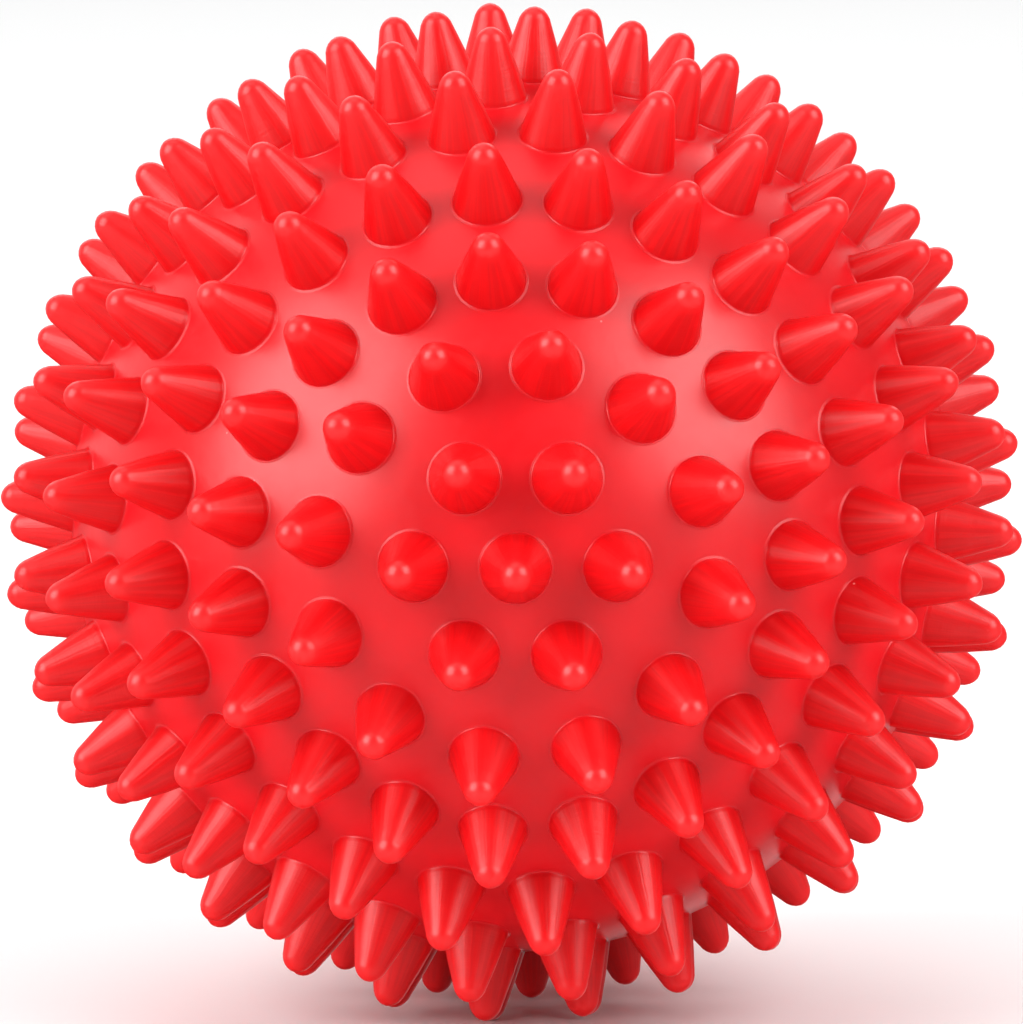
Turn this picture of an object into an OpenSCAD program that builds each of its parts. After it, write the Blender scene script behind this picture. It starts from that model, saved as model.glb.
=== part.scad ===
// Spiked massage ball: a hollow soft PVC ball with solid cone spikes,
// and an inflation valve moulded into its rear pole.
// The ball's centre is the origin. The pole axis is Y: the front pole
// spike points along -Y, and the valve faces +Y. +Z is up.

/* [Ball] */
// Diameter over the tips of the spikes
ball_d = 90; // [84:1:100]
// Thickness of the hollow ball's wall
wall_t = 2.5; // [2:0.1:3]

/* [Spikes] */
// Height of a spike above the skin
spike_h = 6.25; // [5:0.05:7]
// Radius of a spike where it meets the skin
foot_r = 2.9; // [2.6:0.02:3]
// Radius of a spike's rounded tip
tip_r = 1.38; // [1.2:0.02:1.6]

/* [Valve] */
// Radius of the valve seat's flange
flange_r = 4.6; // [4.2:0.1:5]
// Thickness of the valve seat's flange
flange_t = 1.6; // [1.4:0.1:1.8]
// Radius of the valve seat's sleeve
sleeve_r = 3.4; // [3.2:0.1:3.6]
// Length of the valve seat's sleeve, inward from the flange
sleeve_l = 7; // [6:0.5:8]
// Radius of the hole that the plug sits in
seat_bore_r = 2; // [1.8:0.1:2.2]
// Radius of the plug's head
head_r = 2.8; // [2.6:0.1:3]
// Thickness of the plug's head
head_t = 1; // [0.8:0.1:1.1]
// Length of the plug's stem under the head
stem_l = 6; // [5:0.5:7]
// Radius of the pump needle's hole in the plug
needle_r = 0.9; // [0.7:0.05:1]
// Depth of the pump needle's hole in the plug
needle_l = 4.5; // [3.5:0.5:5]

/* [Fits] */
// Radial clearance between the plug's stem and its hole
stem_gap = 0.05; // [0.02:0.01:0.1]
// Gap around the plug's head in its recess
head_gap = 0.3; // [0.2:0.05:0.4]

/* [Hidden] */
$fn = 32;

// Radius of the skin, and of the air space inside it.
core_r = ball_d / 2 - spike_h;
cavity_r = core_r - wall_t;

// The spikes stand in rings around the pole axis, 11 to 13 degrees apart.
// The front half's rings, from the pole to the equator: angle from the front
// pole, number of evenly spaced spikes, turn of the first spike from +Z.
FRONT = [
    [0, 1, 0],
    [12.5, 6, 30],
    [25, 12, 9],
    [36.5, 19, 14],
    [49, 24, 10.5],
    [62.5, 28, 5.5],
    [73.5, 31, 9],
    [83.5, 32, 2.5],
];
// The rear half is the front half given half a turn about Z, with the valve
// in place of its pole spike.
REAR = [for (i = [1 : len(FRONT) - 1]) [180 - FRONT[i][0], FRONT[i][1], -FRONT[i][2]]];

// A spike's flank is straight, and runs into its tip without a corner.
tip_z = spike_h - tip_r;
sink = 0.5;
lean = acos(tip_r / norm([foot_r, tip_z])) - atan2(tip_z, foot_r);
knee_r = tip_r * cos(lean);
knee_z = tip_z + tip_r * sin(lean);
root_r = knee_r + (knee_z + sink) * tan(lean);

// Valve positions along +Y, from the ball's centre.
flange_y = core_r - 0.3;
recess_y = flange_y - head_t + 0.35;
boss_r = sleeve_r + 2.4;
boss_y = flange_y - flange_t - sleeve_l + 1.5;

module spike() {
    translate([0, 0, -sink])
        cylinder(h = knee_z + sink, r1 = root_r, r2 = knee_r);
    translate([0, 0, tip_z]) sphere(r = tip_r);
}

module spikes() {
    for (ring = concat(FRONT, REAR))
        for (j = [0 : ring[1] - 1])
            rotate([90 - ring[0], ring[2] + 360 * j / ring[1], 0])
                translate([0, 0, core_r]) spike();
}

// A turned part on the valve's axis, from y0 to y1.
module turned(r, y0, y1) {
    translate([0, y0, 0]) rotate([-90, 0, 0]) cylinder(h = y1 - y0, r = r);
}

// Hollow ball with its spikes, and the thick boss that holds the valve.
module ball_shell() {
    color([0.86, 0.07, 0.09])
    difference() {
        union() {
            difference() {
                union() {
                    sphere(r = core_r, $fn = 96);
                    spikes();
                }
                sphere(r = cavity_r, $fn = 96);
            }
            turned(boss_r, boss_y, core_r - wall_t / 2);
        }
        turned(sleeve_r, boss_y - 1, core_r + 1);
        turned(flange_r, flange_y - flange_t, core_r + 1);
    }
}

// Flanged sleeve, bonded into the shell.
module valve_seat() {
    color([0.72, 0.05, 0.07])
    difference() {
        union() {
            turned(flange_r, flange_y - flange_t, flange_y);
            turned(sleeve_r, flange_y - flange_t - sleeve_l, flange_y - flange_t + 0.1);
        }
        turned(seat_bore_r, flange_y - flange_t - sleeve_l - 1, flange_y + 1);
        turned(head_r + head_gap, recess_y, flange_y + 1);
    }
}

// Soft plug that seals the seat, with a blind hole for a pump needle.
module valve_plug() {
    stem_r = seat_bore_r - stem_gap;
    top_y = recess_y + 0.05 + head_t;
    color([0.93, 0.9, 0.88])
    difference() {
        translate([0, recess_y + 0.05, 0]) rotate([-90, 0, 0])
            rotate_extrude()
                polygon([
                    [0, -stem_l], [stem_r - 0.5, -stem_l], [stem_r, -stem_l + 0.8],
                    [stem_r, 0], [head_r, 0], [head_r, head_t - 0.3],
                    [head_r - 0.3, head_t], [0, head_t]
                ]);
        turned(needle_r, top_y - needle_l, top_y + 1);
    }
}

ball_shell();
valve_seat();
valve_plug();
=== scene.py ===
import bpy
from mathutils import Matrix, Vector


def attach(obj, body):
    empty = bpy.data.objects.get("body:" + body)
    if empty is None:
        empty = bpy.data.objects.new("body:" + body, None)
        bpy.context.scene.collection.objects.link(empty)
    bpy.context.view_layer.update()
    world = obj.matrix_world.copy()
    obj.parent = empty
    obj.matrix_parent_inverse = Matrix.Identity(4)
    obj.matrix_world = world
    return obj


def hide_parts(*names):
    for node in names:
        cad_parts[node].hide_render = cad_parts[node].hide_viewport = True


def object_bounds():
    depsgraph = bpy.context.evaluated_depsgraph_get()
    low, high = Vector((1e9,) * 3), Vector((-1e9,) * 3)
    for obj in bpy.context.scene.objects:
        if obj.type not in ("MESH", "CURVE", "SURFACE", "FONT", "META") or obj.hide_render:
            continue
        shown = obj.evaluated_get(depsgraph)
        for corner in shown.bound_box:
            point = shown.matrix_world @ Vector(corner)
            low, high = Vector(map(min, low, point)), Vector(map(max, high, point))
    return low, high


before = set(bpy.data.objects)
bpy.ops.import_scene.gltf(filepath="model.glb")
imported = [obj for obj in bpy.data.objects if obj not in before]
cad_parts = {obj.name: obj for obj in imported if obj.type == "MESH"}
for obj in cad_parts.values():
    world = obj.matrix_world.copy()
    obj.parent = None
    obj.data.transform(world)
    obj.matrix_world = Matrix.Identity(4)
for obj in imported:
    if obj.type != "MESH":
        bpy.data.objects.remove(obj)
# A spiked massage ball. Everything is in the CAD row frame, in metres: ball centre at the
# origin, pole axis along Y (front pole spike at -Y, valve at +Y), +Z up.
import math

import bpy
import numpy as np
from mathutils import Matrix, Vector
from mathutils.geometry import delaunay_2d_cdt

cad_box = [list(v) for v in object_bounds()]
MM = 0.001

# ---------------------------------------------------------------- sizes, as in the CAD (mm)
CORE_R, WALL_T = 38.75, 2.5
SPIKE_H, FOOT_R, TIP_R = 6.25, 2.9, 1.38
FLANGE_R, FLANGE_T, SLEEVE_R, SLEEVE_L = 4.6, 1.6, 3.4, 7.0
SEAT_BORE_R, HEAD_R, HEAD_T, STEM_L = 2.0, 2.8, 1.0, 6.0
NEEDLE_R, NEEDLE_L, STEM_GAP, HEAD_GAP = 0.9, 4.5, 0.05, 0.3
FLANGE_Y = CORE_R - 0.3
RECESS_Y = FLANGE_Y - HEAD_T + 0.35
BOSS_R = SLEEVE_R + 2.4
BOSS_Y = FLANGE_Y - FLANGE_T - SLEEVE_L + 1.5
# The spikes' rings, front half and rear half, by the CAD's own rule.
FRONT = [(0, 1, 0), (12.5, 6, 30), (25, 12, 9), (36.5, 19, 14), (49, 24, 10.5), (62.5, 28, 5.5), (73.5, 31, 9), (83.5, 32, 2.5)]
REAR = [(180 - colat, count, -turn) for colat, count, turn in FRONT[1:]]


def spike_directions():
    out = []
    for colat, count, turn in FRONT + REAR:
        for j in range(count):
            a = math.radians(turn + 360.0 * j / count)
            c = math.radians(colat)
            out.append((math.sin(c) * math.sin(a), -math.cos(c), math.sin(c) * math.cos(a)))
    return np.array(out)


# ---------------------------------------------------------------- a spike's profile
TIP_Z = SPIKE_H - TIP_R
LEAN = math.acos(TIP_R / math.hypot(FOOT_R, TIP_Z)) - math.atan2(TIP_Z, FOOT_R)
FILLET = 0.17
BULGE = 0.05
PAD_W, PAD_H = 0.05, 0.022     # a low round pad that each spike stands on


def spike_profile():
    """Points (r, z, nr, nz, s) from the skin to the tip, z from the ball's centre, n the normal, s the height share."""
    base = CORE_R + PAD_H
    knee = np.array([TIP_R * math.cos(LEAN), CORE_R + TIP_Z + TIP_R * math.sin(LEAN)])
    nf = np.array([math.cos(LEAN), math.sin(LEAN)])
    down = np.array([math.sin(LEAN), -math.cos(LEAN)])
    c0 = knee + FILLET * nf
    b, c = float(c0 @ down), float(c0 @ c0) - (base + FILLET) ** 2
    t = -b - math.sqrt(b * b - c)
    centre = c0 + t * down
    start = -centre / np.linalg.norm(centre)      # from the fillet's centre to the pad
    end = -nf                                     # and to the flank
    a0, a1 = math.atan2(start[1], start[0]), math.atan2(end[1], end[0])
    a1 += 2 * math.pi * round((a0 - a1) / (2 * math.pi))
    arc = []
    for k in range(3):
        a = a0 + (a1 - a0) * k / 2
        d = np.array([math.cos(a), math.sin(a)])
        p = centre + FILLET * d
        arc.append((p[0], p[1], -d[0], -d[1]))
    pad_r = arc[0][0] + PAD_W
    pts = []
    for r, h, lean in ((pad_r + 0.06, 0.0, 8), (pad_r, PAD_H, 24)):
        z = math.sqrt((CORE_R + h) ** 2 - r * r)
        n = np.array([r, z]) / math.hypot(r, z)
        q = math.radians(lean)
        pts.append((r, z, n[0] * math.cos(q) + n[1] * math.sin(q), n[1] * math.cos(q) - n[0] * math.sin(q)))
    pts += arc
    foot = centre - FILLET * nf
    u = 0.5
    p = foot + (knee - foot) * u + nf * BULGE * 4 * u * (1 - u)
    pts.append((p[0], p[1], nf[0], nf[1]))
    tip = np.array([0, CORE_R + TIP_Z - 0.006])
    for k in range(5):
        q = k / 4
        a = LEAN + (math.radians(84) - LEAN) * q
        d = np.array([math.cos(a), math.sin(a)])
        p = tip + TIP_R * d
        pts.append((p[0] * (1 - 0.09 * q ** 0.7), p[1], d[0], d[1]))
    lo = pts[0][1]
    span = CORE_R + SPIKE_H - lo
    return [(r, z, nr, nz, (z - lo) / span) for r, z, nr, nz in pts]


PROFILE = spike_profile()
SEG = 24
VSEG = 64
SEAM_N = 300


def frame_of(d):
    ref = np.array([0, 0, 1.0]) if abs(d[2]) < 0.9 else np.array([1.0, 0, 0])
    u = np.cross(ref, d)
    u /= np.linalg.norm(u)
    return u, np.cross(d, u)


def build_shell():
    verts, normals, spk, own, faces = [], [], [], [], []
    mine = [0.0]

    def add(p, n, s):
        verts.append(p)
        normals.append(n)
        spk.append(s)
        own.append(mine[0])
        return len(verts) - 1

    dirs = spike_directions()
    rings = []
    r0, z0 = PROFILE[0][0], PROFILE[0][1]
    for i, d in enumerate(dirs):
        u, v = frame_of(d)
        phase = (i * 0.37) % 1.0
        mine[0] = (i * 0.6180339) % 1.0
        loop = []
        for k in range(SEG):
            a = 2 * math.pi * (k + phase) / SEG
            w = math.cos(a) * u + math.sin(a) * v
            loop.append(add(d * z0 + w * r0, (d * z0 + w * r0) / CORE_R, (math.cos(a), math.sin(a), 0.0)))
        rings.append(loop)
    mine[0] = 0.0
    # The edge of the valve's pocket, where the skin ends.
    edge_r = FLANGE_R + 0.16
    edge_y = math.sqrt(CORE_R ** 2 - edge_r ** 2)
    pocket = []
    for k in range(VSEG):
        a = 2 * math.pi * k / VSEG
        p = np.array([edge_r * math.sin(a), edge_y, edge_r * math.cos(a)])
        pocket.append(add(p, p / CORE_R, (0.0, 0.0, -1.0)))
    # The mould's parting line round the equator, a thin low ridge.
    seam = []
    for off, lift in ((-0.22, 0.0), (-0.09, 0.05), (0.09, 0.05), (0.22, 0.0)):
        loop = []
        for k in range(SEAM_N):
            a = 2 * math.pi * (k + 0.5) / SEAM_N
            rr = CORE_R + lift
            p = np.array([rr * math.sin(a), off, rr * math.cos(a)])
            side = {-0.22: -0.15, -0.09: -0.5, 0.09: 0.5, 0.22: 0.15}[off]
            n = np.array([math.sin(a), side, math.cos(a)])
            loop.append(add(p, n / np.linalg.norm(n), (0.0, 0.0, -1.0)))
        seam.append(loop)
    # Points that keep the skin between the spikes round.
    n_fill = 5200
    golden = math.pi * (3 - math.sqrt(5))
    idx = np.arange(n_fill)
    yy = 1 - 2 * (idx + 0.5) / n_fill
    rad = np.sqrt(1 - yy * yy)
    fill = np.stack([rad * np.cos(golden * idx), yy, rad * np.sin(golden * idx)], 1)
    near = (fill @ dirs.T).max(1)
    keep = near < math.cos(math.asin(r0 / CORE_R) + math.radians(0.75))
    keep &= fill[:, 1] < math.cos(math.asin(edge_r / CORE_R) + math.radians(0.9))
    keep &= np.abs(fill[:, 1] * CORE_R) > 0.55
    for p in fill[keep]:
        add(p * CORE_R, p, (0.0, 0.0, -1.0))
    # Spherical Delaunay triangles, through a stereographic map from the valve's pole.
    allp = np.array(verts)
    unit = allp / np.linalg.norm(allp, axis=1)[:, None]
    flat = [Vector((x / (1 - y), z / (1 - y))) for x, y, z in unit]
    loops = rings + [pocket] + seam
    edges = [(lp[k], lp[(k + 1) % len(lp)]) for lp in loops for k in range(len(lp))]
    owner = np.full(len(verts), -1)
    for i, lp in enumerate(rings):
        owner[lp] = i
    _, _, tris, orig_v, _, _ = delaunay_2d_cdt(flat, edges, [], 0, 1e-9)
    lost = [i for i, o in enumerate(orig_v) if len(o) != 1]
    if lost:
        raise RuntimeError("the skin's triangles merged %d points" % len(lost))
    for t in tris:
        t = [orig_v[i][0] for i in t]
        o = owner[t]
        if o[0] >= 0 and (o == o[0]).all():
            continue
        a, b, c = (np.array(verts[i]) for i in t)
        if np.dot(np.cross(b - a, c - a), a) < 0:
            t = t[::-1]
        faces.append(t)
    # The spikes stand on their rings.
    for i, d in enumerate(dirs):
        u, v = frame_of(d)
        phase = (i * 0.37) % 1.0
        mine[0] = (i * 0.6180339) % 1.0
        prev = rings[i]
        for r, z, nr, nz, s in PROFILE[1:]:
            cur = []
            for k in range(SEG):
                a = 2 * math.pi * (k + phase) / SEG
                w = math.cos(a) * u + math.sin(a) * v
                cur.append(add(d * z + w * r, d * nz + w * nr, (math.cos(a), math.sin(a), s)))
            for k in range(SEG):
                k2 = (k + 1) % SEG
                faces.append([prev[k], prev[k2], cur[k2], cur[k]])
            prev = cur
        top = add(d * (CORE_R + SPIKE_H - 0.036), d, (0.0, 0.0, 1.0))
        for k in range(SEG):
            faces.append([prev[k], prev[(k + 1) % SEG], top])
    mine[0] = 0.0
    # Pocket, hole, boss and air space: one profile turned about Y, from the skin's edge inward.
    floor_y = FLANGE_Y - FLANGE_T
    cav = CORE_R - WALL_T
    prof = [(FLANGE_R + 0.05, edge_y - 0.04), (FLANGE_R, edge_y - 0.16), (FLANGE_R, floor_y), (SLEEVE_R, floor_y),
            (SLEEVE_R, BOSS_Y), (BOSS_R - 0.4, BOSS_Y), (BOSS_R, BOSS_Y + 0.4)]
    a0 = math.asin(BOSS_R / cav)
    steps = 30
    for k in range(steps):
        a = a0 + (math.pi - a0) * k / steps
        prof.append((cav * math.sin(a), cav * math.cos(a)))
    prev = pocket
    for r, y in prof:
        cur = []
        for k in range(VSEG):
            a = 2 * math.pi * k / VSEG
            p = np.array([r * math.sin(a), y, r * math.cos(a)])
            cur.append(add(p, None, (0.0, 0.0, -1.0)))
        for k in range(VSEG):
            k2 = (k + 1) % VSEG
            faces.append([prev[k], prev[k2], cur[k2], cur[k]])
        prev = cur
    end = add(np.array([0, -cav, 0.0]), None, (0.0, 0.0, -1.0))
    for k in range(VSEG):
        faces.append([prev[k], prev[(k + 1) % VSEG], end])
    return np.array(verts), normals, np.array(spk), np.array(own), faces


def mesh_object(name, verts, faces, scale=MM):
    me = bpy.data.meshes.new(name)
    me.from_pydata([tuple(p) for p in (np.array(verts) * scale)], [], [tuple(f) for f in faces])
    me.validate()
    ob = bpy.data.objects.new(name, me)
    bpy.context.scene.collection.objects.link(ob)
    return ob


def fix_winding(ob):
    import bmesh
    bm = bmesh.new()
    bm.from_mesh(ob.data)
    bmesh.ops.recalc_face_normals(bm, faces=bm.faces)
    bm.to_mesh(ob.data)
    bm.free()


def turned_piece(name, profile, seg=64, closed=True):
    """profile: (r, y) points of a closed outline, turned about Y."""
    verts, faces = [], []
    n = len(profile)
    index = {}
    for j, (r, y) in enumerate(profile):
        for k in range(seg):
            if r < 1e-9:
                if (j, 0) not in index:
                    index[(j, 0)] = len(verts)
                    verts.append((0.0, y, 0.0))
                index[(j, k)] = index[(j, 0)]
            else:
                a = 2 * math.pi * k / seg
                index[(j, k)] = len(verts)
                verts.append((r * math.sin(a), y, r * math.cos(a)))
    for j in range(n if closed else n - 1):
        j2 = (j + 1) % n
        for k in range(seg):
            k2 = (k + 1) % seg
            f = [index[(j, k)], index[(j, k2)], index[(j2, k2)], index[(j2, k)]]
            g = []
            for i in f:
                if i not in g:
                    g.append(i)
            if len(g) > 2:
                faces.append(g)
    ob = mesh_object(name, verts, faces)
    fix_winding(ob)
    for p in ob.data.polygons:
        p.use_smooth = True
    ob.data.set_sharp_from_angle(angle=math.radians(38))
    return ob


def rounded(points, radius, steps=3):
    """A closed (r, y) outline with each corner off the axis rounded."""
    out = []
    n = len(points)
    for i in range(n):
        p0, p1, p2 = (np.array(points[(i + k) % n], float) for k in (-1, 0, 1))
        if p1[0] < 1e-9:
            out.append(tuple(p1))
            continue
        a, b = p0 - p1, p2 - p1
        la, lb = np.linalg.norm(a), np.linalg.norm(b)
        r = min(radius, la * 0.45, lb * 0.45)
        a, b = p1 + a / la * r, p1 + b / lb * r
        for k in range(steps + 1):
            t = k / steps
            q = (1 - t) ** 2 * a + 2 * t * (1 - t) * p1 + t * t * b
            out.append((max(float(q[0]), 0.0), float(q[1])))
    return out


# ---------------------------------------------------------------- materials
def new_material(name):
    m = bpy.data.materials.new(name)
    m.use_nodes = True
    nt = m.node_tree
    for n in list(nt.nodes):
        nt.nodes.remove(n)
    out = nt.nodes.new("ShaderNodeOutputMaterial")
    bs = nt.nodes.new("ShaderNodeBsdfPrincipled")
    nt.links.new(bs.outputs["BSDF"], out.inputs["Surface"])
    return m, nt, bs


def node(nt, kind, **inputs):
    n = nt.nodes.new(kind)
    for k, v in inputs.items():
        if k in ("operation", "data_type", "blend_type", "interpolation_type", "feature", "attribute_name",
                 "wave_type", "bands_direction", "attribute_type", "noise_dimensions", "distance"):
            setattr(n, k, v)
        else:
            n.inputs[k.replace("_", " ")].default_value = v
    return n


def math_node(nt, op, a, b=None, clamp=False):
    n = nt.nodes.new("ShaderNodeMath")
    n.operation = op
    n.use_clamp = clamp
    for i, x in enumerate((a, b)):
        if x is None:
            continue
        if hasattr(x, "default_value") and hasattr(x, "is_linked"):
            nt.links.new(x, n.inputs[i])
        else:
            n.inputs[i].default_value = x
    return n.outputs[0]


def ramp(nt, x, lo, hi, a=0.0, b=1.0):
    n = nt.nodes.new("ShaderNodeMapRange")
    n.interpolation_type = "SMOOTHSTEP"
    nt.links.new(x, n.inputs["Value"])
    n.inputs["From Min"].default_value = lo
    n.inputs["From Max"].default_value = hi
    n.inputs["To Min"].default_value = a
    n.inputs["To Max"].default_value = b
    return n.outputs["Result"]


def mix_colour(nt, f, a, b):
    n = nt.nodes.new("ShaderNodeMix")
    n.data_type = "RGBA"
    if hasattr(f, "is_linked"):
        nt.links.new(f, n.inputs["Factor"])
    else:
        n.inputs["Factor"].default_value = f
    for key, x in (("A", a), ("B", b)):
        s = [i for i in n.inputs if i.name == key and i.type == "RGBA"][0]
        if hasattr(x, "is_linked"):
            nt.links.new(x, s)
        else:
            s.default_value = (*x, 1.0)
    return [o for o in n.outputs if o.type == "RGBA"][0]


def shell_material():
    m, nt, bs = new_material("soft_pvc_red")
    L = nt.links.new
    at = nt.nodes.new("ShaderNodeAttribute")
    at.attribute_name = "spk"
    sep = nt.nodes.new("ShaderNodeSeparateXYZ")
    L(at.outputs["Vector"], sep.inputs[0])
    s = sep.outputs["Z"]                       # height share up a spike, 0 at its foot, under 0 on the skin
    on_spike = ramp(nt, s, 0.02, 0.08)
    tip = ramp(nt, s, 0.74, 0.98)
    tc = nt.nodes.new("ShaderNodeTexCoord")
    pos = tc.outputs["Object"]

    # Colour: a deep red, clouded a little by the plastic's flow. The skin is painted a paler pink than the spikes, a
    # painted sheen, and the tips paler still, a painted highlight.
    cloud = node(nt, "ShaderNodeTexNoise", Scale=70.0, Detail=4.0, Roughness=0.55)
    L(pos, cloud.inputs["Vector"])
    fine = node(nt, "ShaderNodeTexNoise", Scale=1100.0, Detail=2.0, Roughness=0.6)
    L(pos, fine.inputs["Vector"])
    cl = ramp(nt, cloud.outputs["Fac"], 0.3, 0.7)
    # Painted sheen: the skin's red is paler and pinker than the spikes' red, though both are the same plastic.
    skin_c_with_painted_sheen = mix_colour(nt, cl, (0.66, 0.0040, 0.0085), (0.71, 0.0062, 0.0115))
    spike_c = mix_colour(nt, cl, (0.73, 0.0006, 0.0030), (0.79, 0.0014, 0.0045))
    # Painted shade: dark streaks down each spike, standing in for the streaked shading of its flanks, and a darker red
    # towards its foot, where shade falls.
    each = nt.nodes.new("ShaderNodeAttribute")
    each.attribute_name = "own"
    around = nt.nodes.new("ShaderNodeCombineXYZ")
    L(math_node(nt, "MULTIPLY", sep.outputs["X"], 5.2), around.inputs[0])
    L(math_node(nt, "MULTIPLY", sep.outputs["Y"], 5.2), around.inputs[1])
    L(math_node(nt, "MULTIPLY", each.outputs["Fac"], 90.0), around.inputs[2])
    streak_noise = node(nt, "ShaderNodeTexNoise", Scale=1.0, Detail=2.5, Roughness=0.65)
    L(around.outputs[0], streak_noise.inputs["Vector"])
    painted_streak_shade = math_node(nt, "MULTIPLY", ramp(nt, streak_noise.outputs["Fac"], 0.40, 0.60, 0.21, 0.0), ramp(nt, s, 0.66, 0.86, 1.0, 0.0))
    painted_spike_shade = math_node(nt, "ADD", painted_streak_shade, ramp(nt, s, 0.03, 0.60, 0.13, 0.0))
    # Painted shade mixed into the spikes' red: streaks on the flanks and a darker foot.
    spike_c = mix_colour(nt, painted_spike_shade, spike_c, (0.42, 0.0003, 0.0018))
    c = mix_colour(nt, on_spike, skin_c_with_painted_sheen, spike_c)
    # Painted highlight: the tips are mixed towards a paler pink, standing in for their sheen.
    c = mix_colour(nt, math_node(nt, "MULTIPLY", tip, 0.8), c, (0.80, 0.0130, 0.0150))
    # The dot the mould's turning left in the middle of a tip.
    c = mix_colour(nt, math_node(nt, "MULTIPLY", ramp(nt, s, 0.9990, 0.9999), 0.55), c, (0.30, 0.001, 0.002))
    # A few specks of dust and flash on the skin.
    cells = node(nt, "ShaderNodeTexVoronoi", Scale=420.0)
    L(pos, cells.inputs["Vector"])
    pick = nt.nodes.new("ShaderNodeSeparateColor")
    L(cells.outputs["Color"], pick.inputs[0])
    dot = ramp(nt, cells.outputs["Distance"], 0.02, 0.06, 1.0, 0.0)
    rare = math_node(nt, "GREATER_THAN", pick.outputs[0], 0.94)
    speck = math_node(nt, "MULTIPLY", math_node(nt, "MULTIPLY", dot, rare), 0.7)
    c = mix_colour(nt, speck, c, (0.85, 0.45, 0.42))
    L(c, bs.inputs["Base Color"])

    # Gloss: satin skin, duller on the spikes' turned flanks than on their tips, uneven at two scales.
    duller = math_node(nt, "SUBTRACT", math_node(nt, "MULTIPLY", on_spike, 0.085), math_node(nt, "MULTIPLY", tip, 0.06))
    rough = math_node(nt, "ADD", math_node(nt, "ADD", duller, 0.316),
                      math_node(nt, "ADD", ramp(nt, fine.outputs["Fac"], 0.25, 0.75, -0.018, 0.025),
                                ramp(nt, cloud.outputs["Fac"], 0.3, 0.7, -0.014, 0.018)))
    L(rough, bs.inputs["Roughness"])
    bs.inputs["IOR"].default_value = 1.5
    bs.inputs["Subsurface Weight"].default_value = 0.30
    bs.inputs["Subsurface Radius"].default_value = (1.0, 0.08, 0.07)
    bs.inputs["Subsurface Scale"].default_value = 0.0022

    # Turned grooves round each spike, at uneven depths, the drawn lines down it, and the skin's fine orange peel.
    at_s = math_node(nt, "ADD", math_node(nt, "MULTIPLY", s, 30.0), math_node(nt, "MULTIPLY", each.outputs["Fac"], 400.0))
    rings = nt.nodes.new("ShaderNodeTexNoise")
    rings.noise_dimensions = "1D"
    L(at_s, rings.inputs["W"])
    rings.inputs["Scale"].default_value = 1.0
    rings.inputs["Detail"].default_value = 1.5
    rings.inputs["Roughness"].default_value = 0.6
    flank = math_node(nt, "MULTIPLY", on_spike, ramp(nt, s, 0.70, 0.86, 1.0, 0.15))
    groove = math_node(nt, "MULTIPLY", math_node(nt, "MULTIPLY", rings.outputs["Fac"], flank), 0.000009)
    drag_h = math_node(nt, "MULTIPLY", math_node(nt, "MULTIPLY", streak_noise.outputs["Fac"], flank), 0.000050)
    groove = math_node(nt, "ADD", groove, drag_h)
    peel = node(nt, "ShaderNodeTexNoise", Scale=1700.0, Detail=2.0, Roughness=0.55)
    L(pos, peel.inputs["Vector"])
    grain = node(nt, "ShaderNodeTexNoise", Scale=3600.0, Detail=1.0, Roughness=0.5)
    L(pos, grain.inputs["Vector"])
    wide = node(nt, "ShaderNodeTexNoise", Scale=210.0, Detail=1.0, Roughness=0.5)
    L(pos, wide.inputs["Vector"])
    height = math_node(nt, "ADD", groove, math_node(nt, "MULTIPLY", peel.outputs["Fac"], 0.000005))
    height = math_node(nt, "ADD", height, math_node(nt, "MULTIPLY", math_node(nt, "MULTIPLY", grain.outputs["Fac"], tip), 0.000006))
    height = math_node(nt, "ADD", height, math_node(nt, "MULTIPLY", wide.outputs["Fac"], 0.000035))
    bump = nt.nodes.new("ShaderNodeBump")
    bump.inputs["Strength"].default_value = 1.0
    bump.inputs["Distance"].default_value = 1.0
    L(height, bump.inputs["Height"])
    L(bump.outputs["Normal"], bs.inputs["Normal"])
    return m


def rubber_material(name, a, b, rough, scale):
    m, nt, bs = new_material(name)
    tc = nt.nodes.new("ShaderNodeTexCoord")
    n = node(nt, "ShaderNodeTexNoise", Scale=scale, Detail=3.0, Roughness=0.55)
    nt.links.new(tc.outputs["Object"], n.inputs["Vector"])
    nt.links.new(mix_colour(nt, n.outputs["Fac"], a, b), bs.inputs["Base Color"])
    nt.links.new(ramp(nt, n.outputs["Fac"], 0.3, 0.7, rough - 0.05, rough + 0.05), bs.inputs["Roughness"])
    f = node(nt, "ShaderNodeTexNoise", Scale=scale * 8, Detail=2.0, Roughness=0.5)
    nt.links.new(tc.outputs["Object"], f.inputs["Vector"])
    bump = nt.nodes.new("ShaderNodeBump")
    bump.inputs["Strength"].default_value = 1.0
    bump.inputs["Distance"].default_value = 1.0
    nt.links.new(math_node(nt, "MULTIPLY", f.outputs["Fac"], 0.00001), bump.inputs["Height"])
    nt.links.new(bump.outputs["Normal"], bs.inputs["Normal"])
    bs.inputs["IOR"].default_value = 1.5
    bs.inputs["Subsurface Weight"].default_value = 0.15
    bs.inputs["Subsurface Radius"].default_value = (1.0, 0.7, 0.6)
    bs.inputs["Subsurface Scale"].default_value = 0.001
    return m


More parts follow.
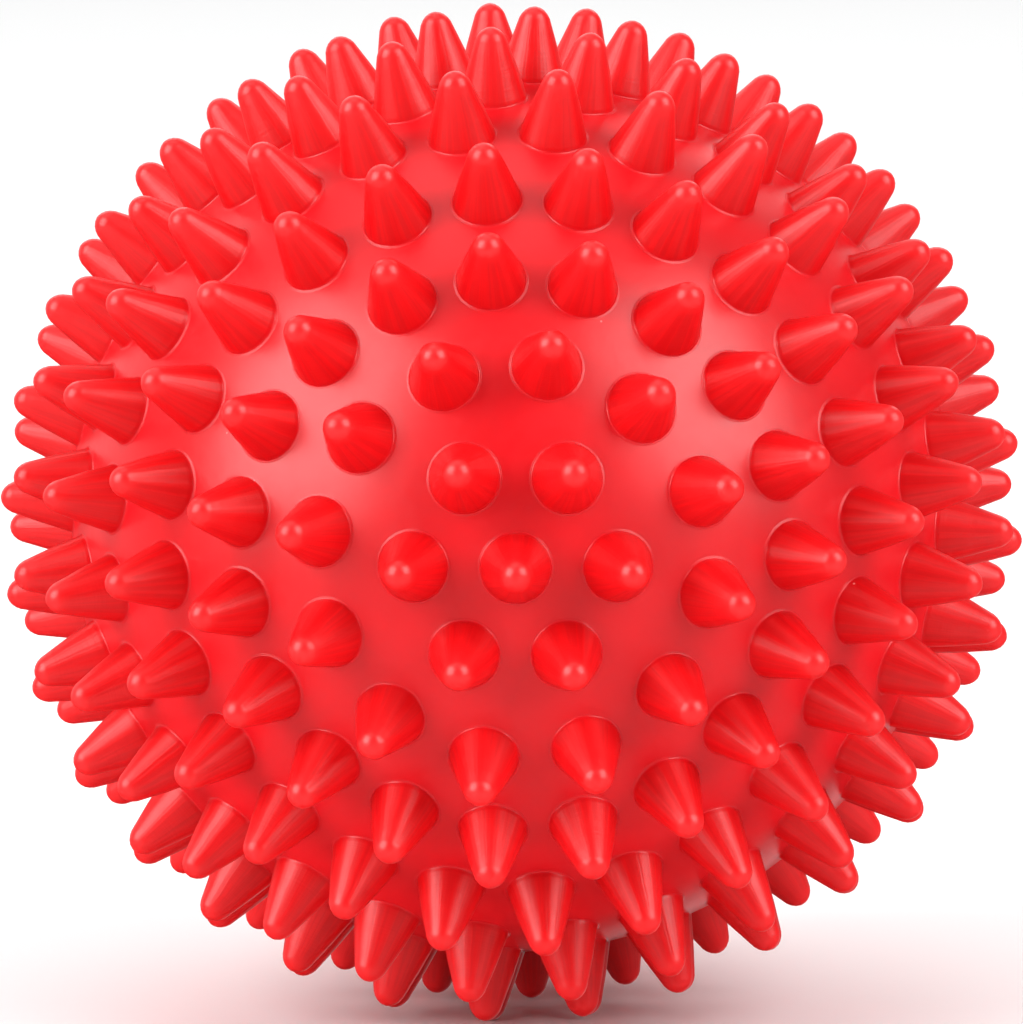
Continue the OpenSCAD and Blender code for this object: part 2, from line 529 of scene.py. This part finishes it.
# ---------------------------------------------------------------- camera, first
# The photograph: long lens, a little above the pole axis.
D_CAM, F_PX, TX, TY = 12.94, 5675.0, 0.009, -0.119
p0c = Vector((TX, TY, 1.0)).normalized()
up = Vector((0, 1, 0))
e2c = (up - p0c * up.dot(p0c)).normalized()
e1c = e2c.cross(p0c)
cols_w = (Vector((1, 0, 0)), Vector((0, 0, 1)), Vector((0, -1, 0)))
cols_c = (e1c, e2c, p0c)
rot = Matrix(((0, 0, 0), (0, 0, 0), (0, 0, 0)))
for w, c in zip(cols_w, cols_c):
    rot += Matrix([[w[i] * c[j] for j in range(3)] for i in range(3)])
cam_d = bpy.data.cameras.new("camera")
cam = bpy.data.objects.new("camera", cam_d)
bpy.context.scene.collection.objects.link(cam)
cam_d.sensor_fit = "VERTICAL"
cam_d.sensor_height = 36.0
cam_d.lens = F_PX / 1024.0 * 36.0
cam_d.clip_start, cam_d.clip_end = 0.01, 100.0
cam_m = rot.to_4x4()
cam_m.translation = rot @ Vector((0, 0, D_CAM * CORE_R * MM))
cam.matrix_world = cam_m
bpy.context.scene.camera = cam

# ---------------------------------------------------------------- pieces
verts, normals, spk, own, faces = build_shell()
shell = mesh_object("shell", verts, faces)
me = shell.data
for p in me.polygons:
    p.use_smooth = True
attr = me.attributes.new("spk", "FLOAT_VECTOR", "POINT")
attr.data.foreach_set("vector", spk.astype(np.float32).ravel())
me.set_sharp_from_angle(angle=math.radians(50))
attr = me.attributes.new("own", "FLOAT", "POINT")
attr.data.foreach_set("value", own.astype(np.float32))
given = [tuple(n) if n is not None else (0.0, 0.0, 0.0) for n in normals]
me.normals_split_custom_set_from_vertices(given)
me.materials.append(shell_material())
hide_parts("ball_shell")
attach(shell, "ball")

seat = turned_piece("seat", rounded([
    (FLANGE_R - 0.02, FLANGE_Y - FLANGE_T), (FLANGE_R - 0.02, FLANGE_Y), (4.05, FLANGE_Y), (3.95, FLANGE_Y - 0.14),
    (3.72, FLANGE_Y - 0.14), (3.62, FLANGE_Y), (HEAD_R + HEAD_GAP, FLANGE_Y), (HEAD_R + HEAD_GAP, RECESS_Y),
    (SEAT_BORE_R, RECESS_Y), (SEAT_BORE_R, FLANGE_Y - FLANGE_T - SLEEVE_L), (SLEEVE_R - 0.02, FLANGE_Y - FLANGE_T - SLEEVE_L),
    (SLEEVE_R - 0.02, FLANGE_Y - FLANGE_T),
], 0.12))
seat.data.materials.append(rubber_material("valve_pvc_red", (0.50, 0.004, 0.009), (0.60, 0.008, 0.015), 0.36, 700.0))
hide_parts("valve_seat")
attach(seat, "ball")

stem_r = SEAT_BORE_R - STEM_GAP
by = RECESS_Y + 0.05
plug = turned_piece("plug", rounded([
    (0.0, by - STEM_L), (stem_r - 0.5, by - STEM_L), (stem_r, by - STEM_L + 0.8), (stem_r, by), (HEAD_R, by),
    (HEAD_R, by + HEAD_T - 0.12), (HEAD_R - 0.35, by + HEAD_T), (1.45, by + HEAD_T), (NEEDLE_R, by + HEAD_T - 0.2),
    (NEEDLE_R, by + HEAD_T - NEEDLE_L), (0.0, by + HEAD_T - NEEDLE_L - 0.25),
], 0.14), closed=False)
plug.data.materials.append(rubber_material("plug_rubber_white", (0.72, 0.68, 0.62), (0.80, 0.77, 0.72), 0.5, 600.0))
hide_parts("valve_plug")
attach(plug, "plug")

# ---------------------------------------------------------------- floor and light
floor_z = cad_box[0][2]
fm = bpy.data.meshes.new("floor")
S = 14.0
fm.from_pydata([(-S, -S, floor_z), (S, -S, floor_z), (S, S, floor_z), (-S, S, floor_z)], [], [(0, 1, 2, 3)])
floor = bpy.data.objects.new("floor", fm)
bpy.context.scene.collection.objects.link(floor)
mf, ntf, bf = new_material("floor_white")
nf = node(ntf, "ShaderNodeTexNoise", Scale=3.0, Detail=2.0)
ntf.links.new(mix_colour(ntf, nf.outputs["Fac"], (0.92, 0.92, 0.92), (0.94, 0.94, 0.94)), bf.inputs["Base Color"])
bf.inputs["Roughness"].default_value = 0.95
bf.inputs["Specular IOR Level"].default_value = 0.0
fm.materials.append(mf)
floor.visible_glossy = False


def softbox(name, azimuth, elevation, distance, size, radiance):
    """A softbox at an angle right of and above the line from the ball to the camera, of one brightness."""
    az, el = math.radians(azimuth), math.radians(elevation)
    d = (rot @ Vector((math.cos(el) * math.sin(az), math.sin(el), math.cos(el) * math.cos(az)))).normalized()
    ld = bpy.data.lights.new(name, "AREA")
    ld.shape = "RECTANGLE"
    ld.size, ld.size_y = size
    ld.energy = radiance * math.pi * size[0] * size[1]
    lo = bpy.data.objects.new(name, ld)
    bpy.context.scene.collection.objects.link(lo)
    lo.location = d * distance
    lo.rotation_euler = d.to_track_quat("Z", "Y").to_euler()
    lo.visible_camera = False
    return lo


softbox("softbox_left", -57, 24, 2.2, (1.8, 1.9), 5.6)
softbox("softbox_right", 54, 29, 2.2, (1.5, 1.8), 5.3)
wash = bpy.data.lights.new("backdrop_wash", "AREA")
wash.shape = "RECTANGLE"
wash.size, wash.size_y = 4.0, 3.4
wash.energy = 1.05 * math.pi * wash.size * wash.size_y
wash_o = bpy.data.objects.new("backdrop_wash", wash)
bpy.context.scene.collection.objects.link(wash_o)
wash_o.location = (0, 3.5, 2.0)
wash_o.visible_camera = False

fill = bpy.data.lights.new("top_fill", "AREA")
fill.shape = "RECTANGLE"
fill.size, fill.size_y = 3.2, 3.2
fill.energy = 0.62 * math.pi * fill.size * fill.size_y
fill_o = bpy.data.objects.new("top_fill", fill)
bpy.context.scene.collection.objects.link(fill_o)
fill_o.location = (0, 0.4, 2.3)
fill_o.visible_camera = False
fill_o.visible_glossy = False

world = bpy.data.worlds.new("studio")
bpy.context.scene.world = world
world.use_nodes = True
wt = world.node_tree
bg = wt.nodes["Background"]
wtc = wt.nodes.new("ShaderNodeTexCoord")


def lobe(direction, lo, hi):
    n = wt.nodes.new("ShaderNodeVectorMath")
    n.operation = "DOT_PRODUCT"
    wt.links.new(wtc.outputs["Generated"], n.inputs[0])
    n.inputs[1].default_value = tuple(Vector(direction).normalized())
    return ramp(wt, n.outputs["Value"], lo, hi)


# A tent round the ball: bright overhead and behind, dim in front, dark where the camera stands and under the ball.
to_cam = rot @ Vector((0, 0, 1))
glow = math_node(wt, "ADD", 0.14, math_node(wt, "MULTIPLY", lobe(rot @ Vector((-0.15, 0.98, 0.05)), 0.88, 0.97), 0.9))
behind = math_node(wt, "MULTIPLY", lobe((-0.25, 0.97, 0), 0.5, 0.75), lobe((0, 0, 1), -0.45, 0.1))
glow = math_node(wt, "ADD", glow, math_node(wt, "MULTIPLY", behind, 0.70))
low_back = math_node(wt, "SUBTRACT", 1.0, math_node(wt, "MULTIPLY", lobe((0, 0.72, -0.69), 0.45, 0.85), 0.8))
glow = math_node(wt, "MULTIPLY", glow, low_back)
glow = math_node(wt, "ADD", glow, math_node(wt, "MULTIPLY", lobe((0.30, 0.84, -0.42), 0.95, 0.99), 0.6))
dark = math_node(wt, "SUBTRACT", 1.0, math_node(wt, "MULTIPLY", lobe(to_cam, 0.72, 0.94), 0.85))
under = math_node(wt, "SUBTRACT", 1.0, math_node(wt, "MULTIPLY", lobe((0, 0, -1), 0.72, 0.97), 0.9))
glow = math_node(wt, "MULTIPLY", glow, math_node(wt, "MULTIPLY", dark, under))
seen = wt.nodes.new("ShaderNodeLightPath")
plain = wt.nodes.new("ShaderNodeMix")
plain.data_type = "FLOAT"
wt.links.new(seen.outputs["Is Camera Ray"], plain.inputs[0])
wt.links.new(glow, plain.inputs[2])
plain.inputs[3].default_value = 1.0
wt.links.new(plain.outputs[0], bg.inputs["Strength"])
bg.inputs["Color"].default_value = (1.0, 1.0, 1.0, 1.0)

sc = bpy.context.scene
sc.view_settings.view_transform = "Standard"
sc.view_settings.look = "None"
sc.view_settings.exposure = 0.0
